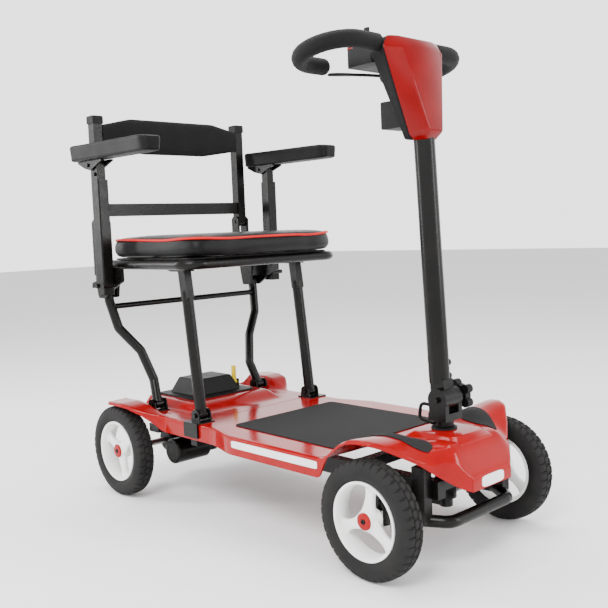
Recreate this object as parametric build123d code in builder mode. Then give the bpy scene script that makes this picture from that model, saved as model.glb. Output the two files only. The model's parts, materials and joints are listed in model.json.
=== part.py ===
"""Folding four-wheel mobility scooter, millimetres, +Z up, forward along -Y.

The origin is on the floor, at the middle of the whole scooter's length and width.
Lengthwise places are given as distances behind the front axle (see `at`).
"""
import os
from math import cos, radians, sin

from build123d import *

# Driving dimensions ---------------------------------------------------------------
FRONT_AXLE_Y = -357.5        # front axle, measured from the origin
WHEELBASE = 724.0
WHEEL_R = 100.0
TYRE_W = 42.0
RIM_R = 67.0                 # tyre bead radius
FRONT_TRACK = 192.0          # half of the front track
REAR_TRACK = 209.0           # half of the rear track
DECK_Z = 186.0               # top of the deck
DECK_HALF_W = 205.0
SEAM = 502.0                 # joint between the front and rear body covers
SKIN = 4.0                   # body cover thickness
GAP = 0.3                    # air between neighbouring pieces
RUN = 0.05                   # radial clearance of a running fit

STEM = 0.0, -8.0             # steering axis: x, distance behind the front axle
KINGPIN_X = 160.0
STEER_ARM = 45.0             # steering arm length, the same at stem and knuckles
HINGE = -12.0, 269.0         # tiller hinge: distance, height
COLUMN_LEAN = 2.7            # degrees, top towards the rider
COLUMN_R = 18.5

FRONT_PIVOT = 497.0, 200.0   # foot of the front seat legs: distance, height
REAR_PIVOT = 670.0, 200.0    # foot of the rear seat legs
REAR_TOP = 750.0, 450.0      # top pivot of the rear seat legs
FRONT_LEG_X = 156.0
REAR_LEG_X = 147.0
SEAT_Z = 513.0               # seat tube centre height
SEAT_X = 205.0               # seat tube centre, from the middle
BACK_PIVOT = 778.0, 600.0    # backrest hinge
BACK_X = 200.0               # backrest post centre
POST_X = 239.0               # armrest post centre
POST_D = 706.0
ARM_PIVOT = 725.0, 728.0     # armrest flip-up pin

SIDES = (("left", 1), ("right", -1))


# Helpers --------------------------------------------------------------------------
def at(x, distance, z):
    """A point, with its length given behind the front axle."""
    return (x, FRONT_AXLE_Y + distance, z)


def rod(start, end, radius, mode=Mode.ADD):
    """A round bar between two points of `at`."""
    foot, head = Vector(*at(*start)), Vector(*at(*end))
    with BuildSketch(Plane(foot, z_dir=head - foot), mode=Mode.PRIVATE) as disc:
        Circle(radius)
    extrude(disc.sketch, amount=(head - foot).length, mode=mode)


def block(low, high, mode=Mode.ADD):
    """A box between two opposite corners."""
    size = [abs(b - a) for a, b in zip(low, high)]
    middle = [(a + b) / 2 for a, b in zip(low, high)]
    with Locations(at(*middle)):
        Box(*size, mode=mode)


def plate(outline, x_from, x_to, corner=0.0, mode=Mode.ADD):
    """A flat piece whose outline (distance, height) stands parallel to the side view."""
    with BuildSketch(Plane.YZ.offset(x_from), mode=Mode.PRIVATE) as face:
        with BuildLine():
            Polyline(*[(FRONT_AXLE_Y + d, z) for d, z in outline], close=True)
        make_face()
        if corner:
            fillet(face.vertices(), corner)
    extrude(face.sketch, amount=x_to - x_from, mode=mode)


def slab(outline, z_from, z_to, corner=0.0, mode=Mode.ADD):
    """A flat piece whose outline (x, distance) lies parallel to the floor."""
    with BuildSketch(Plane.XY.offset(z_from), mode=Mode.PRIVATE) as face:
        with BuildLine():
            Polyline(*[(x, FRONT_AXLE_Y + d) for x, d in outline], close=True)
        make_face()
        if corner:
            fillet(face.vertices(), corner)
    extrude(face.sketch, amount=z_to - z_from, mode=mode)


def bent_tube(route, bend, radius, wall=0.0, mode=Mode.ADD):
    """A round tube along straight runs joined by bends."""
    with BuildLine(mode=Mode.PRIVATE) as line:
        FilletPolyline(*[at(*point) for point in route], radius=bend)
    with BuildSketch(Plane(line.line @ 0, z_dir=line.line % 0), mode=Mode.PRIVATE) as ring:
        Circle(radius)
        if wall:
            Circle(radius - wall, mode=Mode.SUBTRACT)
    sweep(ring.sketch, path=line.line, mode=mode)


def mirrored(outline):
    """An outline of (x, distance) for x > 0, closed by its mirror image."""
    return outline + [(-x, d) for x, d in reversed(outline)]


def save(piece, name):
    piece.part.label = name
    export_step(piece.part, f"parts/{name}.step")


os.makedirs("parts", exist_ok=True)

# Wheels ---------------------------------------------------------------------------
HUB_R = 17.0
SPOKE_W = 20.0
FRONT_AXLE_R = 6.0
REAR_AXLE_R = 7.0


def make_wheel(name, x, distance, bore):
    side = 1 if x > 0 else -1
    centre = at(x, distance, WHEEL_R)
    section = Plane(origin=centre, x_dir=(1, 0, 0), z_dir=(0, -1, 0))
    spin = Axis(centre, (1, 0, 0))

    with BuildPart() as tyre:
        with BuildSketch(section) as profile:
            with Locations((0, (WHEEL_R + RIM_R) / 2)):
                Rectangle(TYRE_W, WHEEL_R - RIM_R)
            fillet(profile.vertices().group_by(Axis.Y)[-1], 10)
            fillet(profile.vertices().group_by(Axis.Y)[0], 4)
        revolve(axis=spin)
    save(tyre, f"{name}_tyre")

    with BuildPart() as rim:
        with BuildSketch(section):
            with Locations((0, RIM_R - 4)):
                Rectangle(36, 8)
            with Locations((0, HUB_R / 2)):
                Rectangle(28, HUB_R)
        revolve(axis=spin)
        face = Plane(origin=at(x + 4 * side - 5, distance, WHEEL_R), x_dir=(0, 1, 0), z_dir=(1, 0, 0))
        with BuildSketch(face):
            with PolarLocations((RIM_R + HUB_R) / 2 - 3, 3, start_angle=90):
                Rectangle(RIM_R - HUB_R + 4, SPOKE_W)
        extrude(amount=10)
        with Locations(Plane(origin=centre, x_dir=(0, 1, 0), z_dir=(1, 0, 0))):
            Cylinder(bore, 60, mode=Mode.SUBTRACT)
    save(rim, f"{name}_rim")


for word, side in SIDES:
    make_wheel(f"front_{word}", side * FRONT_TRACK, 0.0, FRONT_AXLE_R + RUN)
    make_wheel(f"rear_{word}", side * REAR_TRACK, WHEELBASE, REAR_AXLE_R)

    with BuildPart() as axle:
        rod((side * 92, WHEELBASE, WHEEL_R), (side * (REAR_TRACK + 15), WHEELBASE, WHEEL_R), REAR_AXLE_R)
    save(axle, f"rear_{word}_axle")

# Chassis --------------------------------------------------------------------------
RAIL_X = 92.0
RAIL_Z = 138.0

with BuildPart() as chassis:
    for _, side in SIDES:
        block((side * RAIL_X - 10, -70, RAIL_Z - 15), (side * RAIL_X + 10, 660, RAIL_Z + 15))
        block((side * RAIL_X - 7, -66, RAIL_Z - 12), (side * RAIL_X + 7, 656, RAIL_Z + 12),
              mode=Mode.SUBTRACT)
        block((side * 80, 490, RAIL_Z), (side * 176, 510, RAIL_Z + 18))
        block((side * 80, 655, RAIL_Z), (side * 160, 690, RAIL_Z + 18))
    for distance in (-60, 120, 400, 560):
        block((-RAIL_X + 9, distance, RAIL_Z - 8), (RAIL_X - 9, distance + 20, RAIL_Z + 12))
save(chassis, "chassis_frame")

BEAM_Z = 111.0
with BuildPart() as axle_beam:
    block((-KINGPIN_X + 4, -12, BEAM_Z - 12), (KINGPIN_X - 4, 12, BEAM_Z + 12))
    for _, side in SIDES:
        rod((side * KINGPIN_X, 0, 86), (side * KINGPIN_X, 0, 144), 12)
        rod((side * KINGPIN_X, 0, 80), (side * KINGPIN_X, 0, 150), 6 + RUN, mode=Mode.SUBTRACT)
        block((side * RAIL_X - 10, -11, BEAM_Z), (side * RAIL_X + 10, 11, RAIL_Z - 15))
    rod((0, STEM[1], 92), (0, STEM[1], 203), 19)
    rod((0, STEM[1], 80), (0, STEM[1], 210), 12 + RUN, mode=Mode.SUBTRACT)
save(axle_beam, "front_axle_beam")

with BuildPart() as bumper:
    bent_tube([(112, 26, 88), (116, -30, 86), (84, -82, 84), (-84, -82, 84), (-116, -30, 86),
               (-112, 26, 88)], 24, 10.5)
    for _, side in SIDES:
        block((side * 103, -58, 84), (side * 123, -32, 178))
save(bumper, "front_bumper")

# Steering -------------------------------------------------------------------------
ARM_Z = 76.0, 84.0
for word, side in SIDES:
    x = side * KINGPIN_X
    with BuildPart() as knuckle:
        rod((x, 0, ARM_Z[0]), (x, 0, 150), 6)
        rod((x, 0, ARM_Z[0]), (x, 0, ARM_Z[1]), 12)
        rod((x, STEER_ARM, ARM_Z[0]), (x, STEER_ARM, ARM_Z[1]), 7.5)
        block((x - 7.5, 0, ARM_Z[0]), (x + 7.5, STEER_ARM, ARM_Z[1]))
        block((x, -10, ARM_Z[0]), (side * 177, 10, ARM_Z[1]))
        block((side * 173, -11, ARM_Z[0]), (side * 177, 11, 112))
        rod((side * 173, 0, WHEEL_R), (side * (FRONT_TRACK + 15), 0, WHEEL_R), FRONT_AXLE_R)
        rod((x, STEER_ARM, 60), (x, STEER_ARM, 100), 4 + RUN, mode=Mode.SUBTRACT)
    save(knuckle, f"{word}_steering_knuckle")

with BuildPart() as tie_rod:
    block((-KINGPIN_X, 38, 68), (KINGPIN_X, 46, 75))
    block((-20, 30, 68), (20, 46, 75))
    for _, side in SIDES:
        rod((side * KINGPIN_X, STEER_ARM, 68), (side * KINGPIN_X, STEER_ARM, 75), 7)
        rod((side * KINGPIN_X, STEER_ARM, 68), (side * KINGPIN_X, STEER_ARM, 88), 4)
    rod((0, STEM[1] + STEER_ARM, 68), (0, STEM[1] + STEER_ARM, 88), 4)
save(tie_rod, "steering_tie_rod")

CHEEK = 14.0, 24.0           # hinge cheeks, from and to
BARREL_R = 20.0
with BuildPart() as stem:
    rod((0, STEM[1], ARM_Z[0]), (0, STEM[1], 208), 12)
    rod((0, STEM[1], 206), (0, STEM[1], 238), 17)
    block((-8, STEM[1], ARM_Z[0]), (8, STEM[1] + STEER_ARM, ARM_Z[1]))
    rod((0, STEM[1] + STEER_ARM, ARM_Z[0]), (0, STEM[1] + STEER_ARM, ARM_Z[1]), 8)
    rod((0, STEM[1] + STEER_ARM, 60), (0, STEM[1] + STEER_ARM, 100), 4 + RUN, mode=Mode.SUBTRACT)
    for _, side in SIDES:
        rod((side * CHEEK[0], HINGE[0], HINGE[1]), (side * CHEEK[1], HINGE[0], HINGE[1]), BARREL_R)
        block((side * CHEEK[0], -30, 234), (side * CHEEK[1], 6, 262))
    block((-CHEEK[1], -30, 232), (CHEEK[1], 8, 245))
    rod((-30, HINGE[0], HINGE[1]), (44, HINGE[0], HINGE[1]), 5)
save(stem, "steering_stem")

with BuildPart() as knob:
    foot = Plane(origin=at(33, HINGE[0], HINGE[1]), x_dir=(0, 1, 0), z_dir=(1, 0, 0))
    with BuildSketch(foot):
        Circle(20)
        with PolarLocations(21, 5):
            Circle(8)
    extrude(amount=15)
    rod((26, HINGE[0], HINGE[1]), (34, HINGE[0], HINGE[1]), 11)
    rod((20, HINGE[0], HINGE[1]), (60, HINGE[0], HINGE[1]), 5 + RUN, mode=Mode.SUBTRACT)
save(knob, "tiller_knob")

# Tiller ---------------------------------------------------------------------------
LEAN = radians(COLUMN_LEAN)


def up(x, back, height):
    """A place on the leaning tiller: back from its hinge and up along the column."""
    return (x, HINGE[0] + back * cos(LEAN) + height * sin(LEAN),
            HINGE[1] + height * cos(LEAN) - back * sin(LEAN))


COLUMN_BACK = 10.0           # column axis behind the hinge
COLUMN_TOP = 512.0
with BuildPart() as column:
    rod((-13.7, HINGE[0], HINGE[1]), (13.7, HINGE[0], HINGE[1]), BARREL_R)
    with Locations(Plane(at(*up(0, 6, 24)), x_dir=(1, 0, 0), z_dir=(0, sin(LEAN), cos(LEAN)))):
        Box(27.4, 30, 20)
    rod(up(0, COLUMN_BACK, 28), up(0, COLUMN_BACK, COLUMN_TOP), COLUMN_R)
    rod(up(0, COLUMN_BACK, 70), up(0, COLUMN_BACK, COLUMN_TOP + 5), COLUMN_R - 2, mode=Mode.SUBTRACT)
    rod((-20, HINGE[0], HINGE[1]), (20, HINGE[0], HINGE[1]), 5 + RUN, mode=Mode.SUBTRACT)
save(column, "tiller_column")

with BuildPart() as clamp_bolts:
    for height in (36, 60):
        rod(up(COLUMN_R + GAP, COLUMN_BACK, height), up(25, COLUMN_BACK, height), 4)
        rod(up(24, COLUMN_BACK, height), up(29, COLUMN_BACK, height), 6)
save(clamp_bolts, "column_clamp_bolts")

HEAD_BOTTOM = 719.0
HEAD_SHOULDER = 872.0
HEAD_TOP = 895.0


def level(z, outline):
    """A closed level outline of (x, distance) for a loft."""
    with BuildSketch(Plane.XY.offset(z), mode=Mode.PRIVATE) as face:
        with BuildLine():
            Polyline(*[(x, FRONT_AXLE_Y + d) for x, d in outline], close=True)
        make_face()
    return face.sketch


with BuildPart() as head_front:
    shoulder = mirrored([(53, 16), (80, 40)])
    loft([level(HEAD_BOTTOM, mirrored([(20, -8), (33, 24)])), level(HEAD_SHOULDER, shoulder)],
         ruled=True)
    loft([level(HEAD_SHOULDER, shoulder), level(HEAD_TOP, mirrored([(44, 36), (70, 40)]))],
         ruled=True)
    loft([level(HEAD_BOTTOM + 3, mirrored([(16, -4), (29, 25)])),
          level(HEAD_SHOULDER, mirrored([(49, 20), (75, 41)]))], ruled=True, mode=Mode.SUBTRACT)
    rod(up(0, COLUMN_BACK, 400), up(0, COLUMN_BACK, COLUMN_TOP + 8), COLUMN_R + 1.0, mode=Mode.SUBTRACT)
save(head_front, "head_front_cover")

with BuildPart() as head_rear:
    shoulder = mirrored([(80, 40.4), (72, 78)])
    loft([level(HEAD_BOTTOM, mirrored([(33, 24.4), (30, 44)])), level(HEAD_SHOULDER, shoulder)],
         ruled=True)
    loft([level(HEAD_SHOULDER, shoulder), level(HEAD_TOP, mirrored([(70, 40.4), (62, 74)]))],
         ruled=True)
    loft([level(HEAD_BOTTOM + 3, mirrored([(30, 23), (27, 41)])),
          level(HEAD_SHOULDER, mirrored([(76, 39), (68.5, 75)]))], ruled=True, mode=Mode.SUBTRACT)
    rod(up(0, COLUMN_BACK, 400), up(0, COLUMN_BACK, COLUMN_TOP + 8), COLUMN_R + 1.0, mode=Mode.SUBTRACT)
save(head_rear, "head_rear_cover")

with BuildPart() as port_box:
    plate([(50, 744), (61, 792), (96, 792), (96, 744)], -24, 24, corner=3)
save(port_box, "charging_port_box")

KEY = -25.0, 122.0           # key and dome: x, distance
THROTTLE = 100.0, 840.0      # lever pivot: distance, height
with BuildPart() as console:
    slab(mirrored([(60, 79), (54, 146)]), 856, 896, corner=5)
    rod((KEY[0], KEY[1], 894), (KEY[0], KEY[1], 906), 11)
    rod((KEY[0], KEY[1], 898), (KEY[0], KEY[1], 910), 4, mode=Mode.SUBTRACT)
    rod((0, THROTTLE[0], 830), (0, THROTTLE[0], 857), 4)
save(console, "console_pod")

with BuildPart() as key:
    rod((KEY[0], KEY[1], 898.5), (KEY[0], KEY[1], 912), 3.8)
    block((KEY[0] - 2, KEY[1] - 5, 911), (KEY[0] + 2, KEY[1] + 5, 927))
save(key, "ignition_key")

GRIP_R = 15.0
GRIP_TILT = radians(11.3)    # loops drop towards the rider
LOOP_R = 60.0


def loop(x, back):
    """A place in the tilted plane of the hand loops."""
    return (x, 57 + back * cos(GRIP_TILT), 884 - back * sin(GRIP_TILT))


def loop_route(side, start, end):
    """Out from the head, round the outside and back in to the open end."""
    outer = 116 + LOOP_R
    return [loop(side * start, 0), loop(side * outer, 0), loop(side * outer, 2 * LOOP_R),
            loop(side * end, 2 * LOOP_R)]


with BuildPart() as handlebar:
    for _, side in SIDES:
        bent_tube(loop_route(side, 66, 92), LOOP_R - 1, 10)
save(handlebar, "handlebar_tube")

with BuildPart() as grips:
    for _, side in SIDES:
        bent_tube(loop_route(side, 76, 86), LOOP_R - 1, GRIP_R)
        bent_tube(loop_route(side, 60, 90), LOOP_R - 1, 10 + GAP, mode=Mode.SUBTRACT)
        rod(loop(side * 88, 2 * LOOP_R), loop(side * 74, 2 * LOOP_R), GRIP_R)
save(grips, "hand_grips")

with BuildPart() as throttle:
    rod((0, THROTTLE[0], 834), (0, THROTTLE[0], 846), 12)
    for _, side in SIDES:
        slab([(0, 92), (0, 108), (side * 92, 146), (side * 106, 146), (side * 106, 132),
              (side * 84, 128)], 837, 843)
    rod((0, THROTTLE[0], 830), (0, THROTTLE[0], 850), 4 + RUN, mode=Mode.SUBTRACT)
save(throttle, "throttle_lever")

with BuildPart() as cable:
    bent_tube([(-12, 9, 256), (-13, 32, 258), (-14, 36, 230), (-9, 8, 223)], 9, 3)
save(cable, "tiller_cable")

# Body covers ----------------------------------------------------------------------
HUMP = [(104, 165), (91, 184), (68, 213), (38, 231), (-8, 233), (-50, 206), (-107, 150)]
NOSE = [(104, DECK_Z), (46, DECK_Z + 4), (38, 214), (-76, 216), (-107, 158), (-107, 131)]


def skin(line, x_from, x_to):
    """A bent panel of the body covers, with its outer face on the line."""
    with BuildSketch(Plane.YZ.offset(x_from), mode=Mode.PRIVATE) as face:
        with BuildLine() as edge:
            outer = Polyline(*[(FRONT_AXLE_Y + d, z) for d, z in line])
            offset(outer, amount=SKIN, side=Side.LEFT)
        make_face(edge.edges())
    extrude(face.sketch, amount=x_to - x_from)


with BuildPart() as front_cover:
    skin(HUMP, 100, DECK_HALF_W)
    skin(HUMP, -100, -DECK_HALF_W)
    skin(NOSE, -100, 100)
    for _, side in SIDES:
        plate([(104, 180), (91, 184), (68, 213), (38, 231), (-8, 233), (-50, 206), (-107, 150),
               (-107, 133), (-60, 178), (38, 178)], side * 97, side * 101)
    # The plan outline narrows towards the nose.
    for _, side in SIDES:
        slab([(side * 49, -107), (side * 100, -70), (side * 150, -40), (side * 190, -12),
              (side * 206, 30), (side * 240, 30), (side * 240, -120), (side * 49, -120)],
             100, 260, mode=Mode.SUBTRACT)
    block((-DECK_HALF_W, 100, DECK_Z - SKIN), (DECK_HALF_W, SEAM, DECK_Z))
    for _, side in SIDES:
        block((side * (DECK_HALF_W - SKIN), 100, 152), (side * DECK_HALF_W, SEAM, DECK_Z))
        # The sides draw in where the front seat legs stand.
        slab([(side * 206, 350), (side * 181, 425), (side * 181, 503), (side * 206, 503)],
             140, 200, mode=Mode.SUBTRACT)
        block((side * (181 - SKIN), 425, 152), (side * 181, SEAM, DECK_Z - 1))
    rod((0, STEM[1], 140), (0, STEM[1], 240), 20, mode=Mode.SUBTRACT)
save(front_cover, "front_body_cover")

with BuildPart() as rear_cover:
    slab(mirrored([(181, SEAM + GAP), (181, 600), (198, 624), (235, 690), (235, 738), (180, 748),
                   (150, 764)]), DECK_Z - SKIN, DECK_Z)
    plate([(540, DECK_Z), (600, 202), (764, 202), (764, DECK_Z)], -110, 110)
    for _, side in SIDES:
        block((side * (181 - SKIN), SEAM + GAP, 152), (side * 181, 612, DECK_Z - 1))
        # Room for the wheel, and the mudguard above it.
        block((side * 176, 618, 150), (side * 240, 800, DECK_Z + 1), mode=Mode.SUBTRACT)
        plate([(600, 184), (610, 156), (614, 156), (640, 190), (680, 207), (738, 207), (738, 211),
               (680, 213), (640, 200), (606, 186)], side * 176, side * 235)
        slab([(side * 199, 590), (side * 240, 590), (side * 240, 660)], 140, 230, mode=Mode.SUBTRACT)
        plate([(600, 182), (640, 190), (680, 209), (738, 209), (750, 184)], side * 172, side * 176)
save(rear_cover, "rear_body_cover")

MAT_TOP = DECK_Z + 3.0
with BuildPart() as mat:
    slab(mirrored([(145, 112), (140, 413)]), DECK_Z + 0.05, MAT_TOP, corner=12)
save(mat, "deck_mat")

with BuildPart() as strips:
    for _, side in SIDES:
        block((side * DECK_HALF_W, 105, 166), (side * (DECK_HALF_W + 1), 339, 181))
save(strips, "side_strips")

with BuildPart() as badge:
    block((-33, -109, 134), (33, -107.02, 154))
save(badge, "nose_badge")

# Battery and drive ----------------------------------------------------------------
FREEWHEEL = 76.0, 676.0      # yellow lever: x, distance
with BuildPart() as rear_panel:
    slab(mirrored([(86, 612), (86, 760)]), 202.05, 206, corner=8)
    for low in (FREEWHEEL[0] - 9.0, FREEWHEEL[0] + 5.5):
        block((low, FREEWHEEL[1] - 8, 204), (low + 3.5, FREEWHEEL[1] + 8, 222))
    rod((FREEWHEEL[0] - 9, FREEWHEEL[1], 215), (FREEWHEEL[0] + 9, FREEWHEEL[1], 215), 2.5)
save(rear_panel, "rear_panel")

with BuildPart() as battery:
    with BuildSketch(Plane.XY.offset(206.05)):
        with Locations((0, FRONT_AXLE_Y + 690)):
            Rectangle(124, 104)
    extrude(amount=34, taper=24)
    fillet(battery.edges().group_by(Axis.Z)[-1], 4)
save(battery, "battery_pack")

with BuildPart() as controller:
    block((-70, 440, 108), (70, 545, 128))
save(controller, "motor_controller")

with BuildPart() as transaxle:
    rod((-94, WHEELBASE, WHEEL_R), (94, WHEELBASE, WHEEL_R), 26)
    block((-40, 690, 68), (30, 766, 136))
    fillet(transaxle.edges().filter_by(Axis.X), 5)
    rod((-94, 724, WHEEL_R), (-96, 724, WHEEL_R), 20)
    rod((-120, 724, WHEEL_R), (-90, 724, WHEEL_R), REAR_AXLE_R + RUN, mode=Mode.SUBTRACT)
    rod((120, 724, WHEEL_R), (90, 724, WHEEL_R), REAR_AXLE_R + RUN, mode=Mode.SUBTRACT)
save(transaxle, "transaxle_housing")

with BuildPart() as motor:
    rod((-132, 646, 92), (-44, 646, 92), 28)
    fillet(motor.edges(), 4)
    block((-44, 630, 78), (-20, 689.9, 108))
save(motor, "drive_motor")

with BuildPart() as freewheel:
    rod((FREEWHEEL[0] - 5, FREEWHEEL[1], 215), (FREEWHEEL[0] + 5, FREEWHEEL[1], 215), 6)
    block((FREEWHEEL[0] - 4, FREEWHEEL[1] - 4, 218), (FREEWHEEL[0] + 4, FREEWHEEL[1] + 4, 254))
    rod((FREEWHEEL[0] - 9, FREEWHEEL[1], 215), (FREEWHEEL[0] + 9, FREEWHEEL[1], 215), 2.5 + RUN,
        mode=Mode.SUBTRACT)
save(freewheel, "freewheel_lever")

# Seat legs ------------------------------------------------------------------------
EYE_R = 10.0
with BuildPart() as front_brackets:
    for _, side in SIDES:
        inner, outer = FRONT_LEG_X - 16, FRONT_LEG_X + 16
        block((side * inner, 474, DECK_Z + 0.05), (side * 186, 520, DECK_Z + 2.5))
        block((side * 181.3, 474, 158), (side * 186, 520, DECK_Z + 2.5))
        for low in (inner, outer - 3):
            plate([(483, DECK_Z + 1), (511, DECK_Z + 1), (509, 206), (503, 212), (491, 212), (485, 206)],
                  side * low, side * (low + 3))
        rod((side * (inner - 3), *FRONT_PIVOT), (side * (outer + 4), *FRONT_PIVOT), 5)
save(front_brackets, "front_leg_brackets")

with BuildPart() as rear_brackets:
    for _, side in SIDES:
        inner, outer = REAR_LEG_X - 16.5, REAR_LEG_X + 16.5
        block((side * inner, 650, DECK_Z + 0.05), (side * outer, 692, DECK_Z + 2.5))
        for low in (inner, outer - 3):
            plate([(656, DECK_Z + 1), (684, DECK_Z + 1), (682, 206), (676, 212), (664, 212), (658, 206)],
                  side * low, side * (low + 3))
        rod((side * (inner - 3), *REAR_PIVOT), (side * (outer + 4), *REAR_PIVOT), 5)
save(rear_brackets, "rear_leg_brackets")

FRONT_TOP = 531.0, 504.0
with BuildPart() as front_legs:
    for _, side in SIDES:
        x = side * FRONT_LEG_X
        rod((x - 9, *FRONT_PIVOT), (x + 9, *FRONT_PIVOT), EYE_R)
        rod((x, *FRONT_PIVOT), (x, 525.6, 456), 12)
        block((x - 8, 488, 200), (x + 8, 506, 214))
        plate([(512, 440), (534, 438), (542, 500), (536, 512), (526, 512), (520, 500)],
              x - 9, x + 9, corner=3)
        rod((x - 40, *FRONT_PIVOT), (x + 40, *FRONT_PIVOT), 5 + RUN, mode=Mode.SUBTRACT)
save(front_legs, "front_seat_legs")

with BuildPart() as rear_legs:
    for _, side in SIDES:
        x = side * REAR_LEG_X
        rod((x - 9, *REAR_PIVOT), (x + 9, *REAR_PIVOT), EYE_R)
        bent_tube([(x, 671, 203), (side * 140, 692, 252), (side * 158, 710, 318),
                   (side * 198, 732, 372), (side * 208, 747, 432), (side * 208, 750, 452)], 18, 10.5)
        rod((side * 199, *REAR_TOP), (side * 217, *REAR_TOP), 12)
        rod((x - 20, *REAR_PIVOT), (x + 20, *REAR_PIVOT), 5 + RUN, mode=Mode.SUBTRACT)
        rod((side * 190, *REAR_TOP), (side * 230, *REAR_TOP), 5 + RUN, mode=Mode.SUBTRACT)
    rod((-204, 744, 420), (204, 744, 420), 6.5)
save(rear_legs, "rear_seat_legs")

# Seat -----------------------------------------------------------------------------
with BuildPart() as seat_frame:
    bent_tube([(SEAT_X, 770, SEAT_Z), (SEAT_X, 446, SEAT_Z), (-SEAT_X, 446, SEAT_Z),
               (-SEAT_X, 770, SEAT_Z)], 36, 10)
    rod((-SEAT_X, 764, SEAT_Z), (SEAT_X, 764, SEAT_Z), 9)
    for _, side in SIDES:
        for low in (FRONT_LEG_X - 14, FRONT_LEG_X + 10.5):
            plate([(515, 523), (515, 497), (560, 497), (600, 508), (600, 523)],
                  side * low, side * (low + 3.5))
    rod((-SEAT_X, 592, 515), (SEAT_X, 592, 515), 7)
save(seat_frame, "seat_frame")

with BuildPart() as seat_pan:
    slab(mirrored([(190, 452), (190, 752)]), 523.05, 526, corner=20)
save(seat_pan, "seat_pan")

with BuildPart() as cushion:
    slab(mirrored([(202, 428), (198, 762)]), 526.3, 574, corner=30)
    fillet(cushion.edges().group_by(Axis.Z)[-1], 12)
save(cushion, "seat_cushion")

LEVER = 742.0, 474.0         # seat release lever pivot
BRACKET = [(662, 506), (662, 478), (700, 462), (736, 440), (764, 440), (772, 470), (772, 512)]
with BuildPart() as seat_brackets:
    for _, side in SIDES:
        plate(BRACKET, side * 219, side * 224, corner=5)
        plate([(724, 500), (736, 440), (764, 440), (776, 500)], side * 189, side * 196, corner=5)
        rod((side * 189, *REAR_TOP), (side * 227, *REAR_TOP), 5)
        rod((side * 189, *REAR_TOP), (side * 192, *REAR_TOP), 9)
        rod((side * 214.9, 690, 494), (side * 225, 690, 494), 7)
        rod((side * 222, *LEVER), (side * 234, *LEVER), 3)
        block((side * 189, 770.2, 490), (side * 224, 774, 512))
        # Upright hinge cheeks for the backrest.
        for low in (BACK_X - 17, BACK_X + 11.7):
            plate([(764, 490), (790, 490), (790, 606), (784, 613), (772, 613), (764, 606)],
                  side * low, side * (low + 5), corner=2)
        rod((side * (BACK_X - 19), *BACK_PIVOT), (side * (BACK_X + 18), *BACK_PIVOT), 5)
save(seat_brackets, "seat_side_brackets")

for word, side in SIDES:
    with BuildPart() as post:
        block((side * (POST_X - 12.5), POST_D - 15, 450), (side * (POST_X + 12.5), POST_D + 15, 696))
        fillet(post.edges().filter_by(Axis.Z), 3)
        block((side * (POST_X - 10), POST_D - 9, 690), (side * (POST_X + 10), POST_D + 12, 720))
        plate([(697, 715), (718, 715), (731, 722), (731, 734), (697, 734)],
              side * (POST_X - 10), side * (POST_X + 10))
        rod((side * 200, *ARM_PIVOT), (side * 280, *ARM_PIVOT), 4 + RUN, mode=Mode.SUBTRACT)
        for distance in (690, 718):
            rod((side * 224.3, distance, 470), (side * 256, distance, 470), 5)
        rod((side * (POST_X + 10), POST_D, 708), (side * (POST_X + 14), POST_D, 708), 4)
    save(post, f"{word}_armrest_post")

    with BuildPart() as bracket:
        for low in (POST_X - 14.5, POST_X + 10.5):
            plate([(660, 737.5), (775, 737.5), (740, 722), (714, 716), (704, 722)],
                  side * low, side * (low + 4), corner=2)
        rod((side * (POST_X - 18), *ARM_PIVOT), (side * (POST_X + 18), *ARM_PIVOT), 4)
    save(bracket, f"{word}_armrest_bracket")

    with BuildPart() as pad:
        plate([(483, 737.6), (775, 737.6), (778, 774), (492, 770)], side * 219, side * 270, corner=7)
        fillet(pad.edges().filter_by(Axis.Y), 5)
    save(pad, f"{word}_armrest_pad")

    with BuildPart() as release:
        rod((side * 225.2, *LEVER), (side * 232, *LEVER), 12)
        plate([(742, 482), (776, 474), (780, 462), (742, 466)], side * 226, side * 231, corner=3)
        rod((side * 220, *LEVER), (side * 235, *LEVER), 3 + RUN, mode=Mode.SUBTRACT)
    save(release, f"{word}_release_lever")

# Backrest -------------------------------------------------------------------------
with BuildPart() as backrest:
    for _, side in SIDES:
        x = side * BACK_X
        block((x - 11, 766.5, 600), (x + 11, 789.5, 828))
        rod((x - 11, *BACK_PIVOT), (x + 11, *BACK_PIVOT), 11.5)
        rod((x - 20, *BACK_PIVOT), (x + 20, *BACK_PIVOT), 5 + RUN, mode=Mode.SUBTRACT)
    block((-BACK_X + 10, 770, 620), (BACK_X - 10, 784, 648))
save(backrest, "backrest_frame")

with BuildPart() as band:
    with BuildSketch(Plane.XZ.offset(-(FRONT_AXLE_Y + 760))):
        with BuildLine():
            Polyline((-188.9, 775), (-188.9, 823), (-120, 839), (120, 839), (188.9, 823), (188.9, 775),
                     (91, 760), (-91, 760), close=True)
        make_face()
    extrude(amount=-20)
    fillet(band.edges().group_by(Axis.Y)[0], 4)
save(band, "backrest_band")

with BuildPart() as caps:
    for _, side in SIDES:
        x = side * BACK_X
        block((x - 13, 764.5, 824), (x + 13, 791.5, 842))
        block((x - 11, 766.5, 820), (x + 11, 789.5, 828), mode=Mode.SUBTRACT)
    fillet(caps.edges().group_by(Axis.Z)[-1], 4)
save(caps, "backrest_caps")
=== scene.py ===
"""Looks of the folding mobility scooter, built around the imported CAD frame. Metres, +Z up, forward -Y."""
import json
from math import cos, pi, radians, sin

import bmesh
import bpy
from mathutils import Matrix, Vector


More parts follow.
